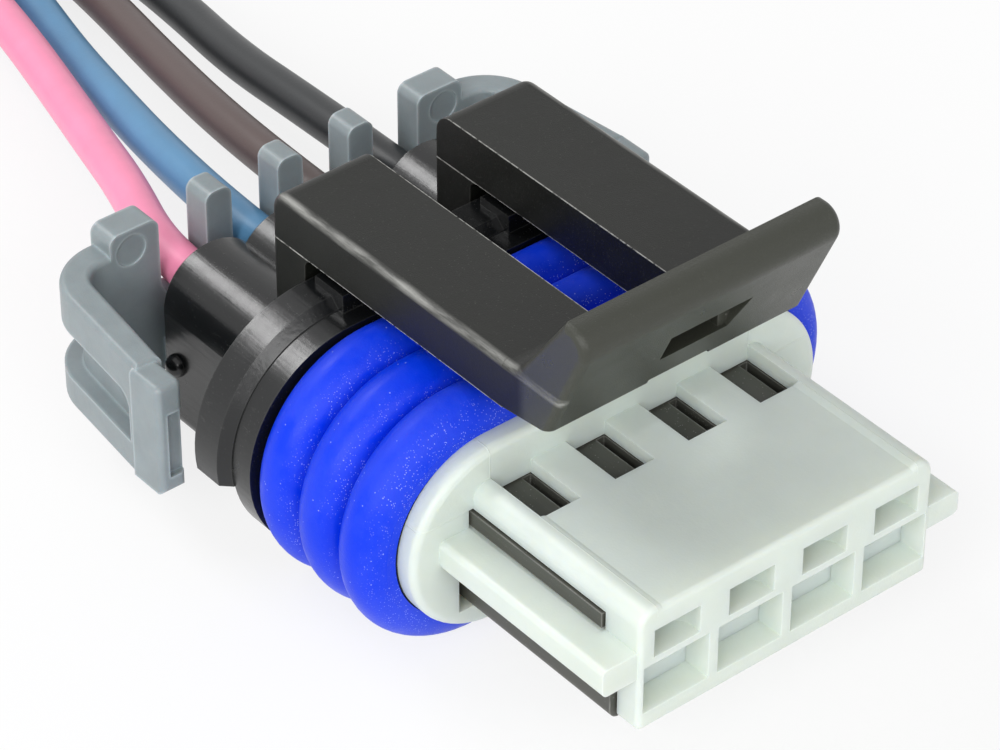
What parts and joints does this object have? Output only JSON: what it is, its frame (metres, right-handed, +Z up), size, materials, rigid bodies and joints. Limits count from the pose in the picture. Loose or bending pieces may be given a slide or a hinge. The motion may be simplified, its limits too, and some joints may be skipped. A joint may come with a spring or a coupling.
{
  "type": "connector pigtail",
  "caption": "Sealed in-line socket plug with a spring latch, ribbed silicone seal, sliding rear lock and coloured crimped leads with bare ends.",
  "frame": {"origin": "on the resting surface, under the middle of the connector without its leads", "axes": "+X across the ways, +Y from the nose back to the leads, +Z up through the latch"},
  "size_m": [0.0358, 0.0968, 0.0195],
  "materials": {
    "shell_white": "satin moulded",
    "housing_black": "satin moulded",
    "seal_blue": "smooth silicone",
    "lock_grey": "satin moulded",
    "contact_tin": "tin plated",
    "copper": "drawn strands",
    "cable_seal_blue": "smooth silicone",
    "jacket_pink": "satin extruded",
    "jacket_blue": "satin extruded",
    "jacket_brown": "satin extruded",
    "jacket_black": "satin extruded",
    "coil_jackets": "satin extruded",
    "tie_white": "satin moulded"
  },
  "bodies": {
    "plug": {"nose": "shell_white", "interface_seal": "seal_blue", "housing": "housing_black", "terminal_1": "contact_tin", "cable_seal_1": "cable_seal_blue", "lead_pink": "jacket_pink", "conductor_pink": "copper", "strand_end_pink": "copper", "terminal_2": "contact_tin", "cable_seal_2": "cable_seal_blue", "lead_blue": "jacket_blue", "conductor_blue": "copper", "strand_end_blue": "copper", "terminal_3": "contact_tin", "cable_seal_3": "cable_seal_blue", "lead_brown": "jacket_brown", "conductor_brown": "copper", "strand_end_brown": "copper", "terminal_4": "contact_tin", "cable_seal_4": "cable_seal_blue", "lead_black": "jacket_black", "conductor_black": "copper", "strand_end_black": "copper", "lead_coil": "coil_jackets", "coil_tie_1": "tie_white", "coil_tie_2": "tie_white"},
    "latch": {"latch": "housing_black"},
    "rear_lock": {"rear_lock": "lock_grey"}
  },
  "joints": [
    {"name": "latch_lift", "type": "hinge", "parent": "plug", "child": "latch", "pos_m": [0, 0.00685, 0.0111], "axis": [-1, 0, 0], "range_deg": [0, 5], "stiffness_Nm_per_rad": 0.15},
    {"name": "lock_slide", "type": "slide", "parent": "plug", "child": "rear_lock", "axis": [0, -1, 0], "range_m": [0, 0.0013]}
  ]
}
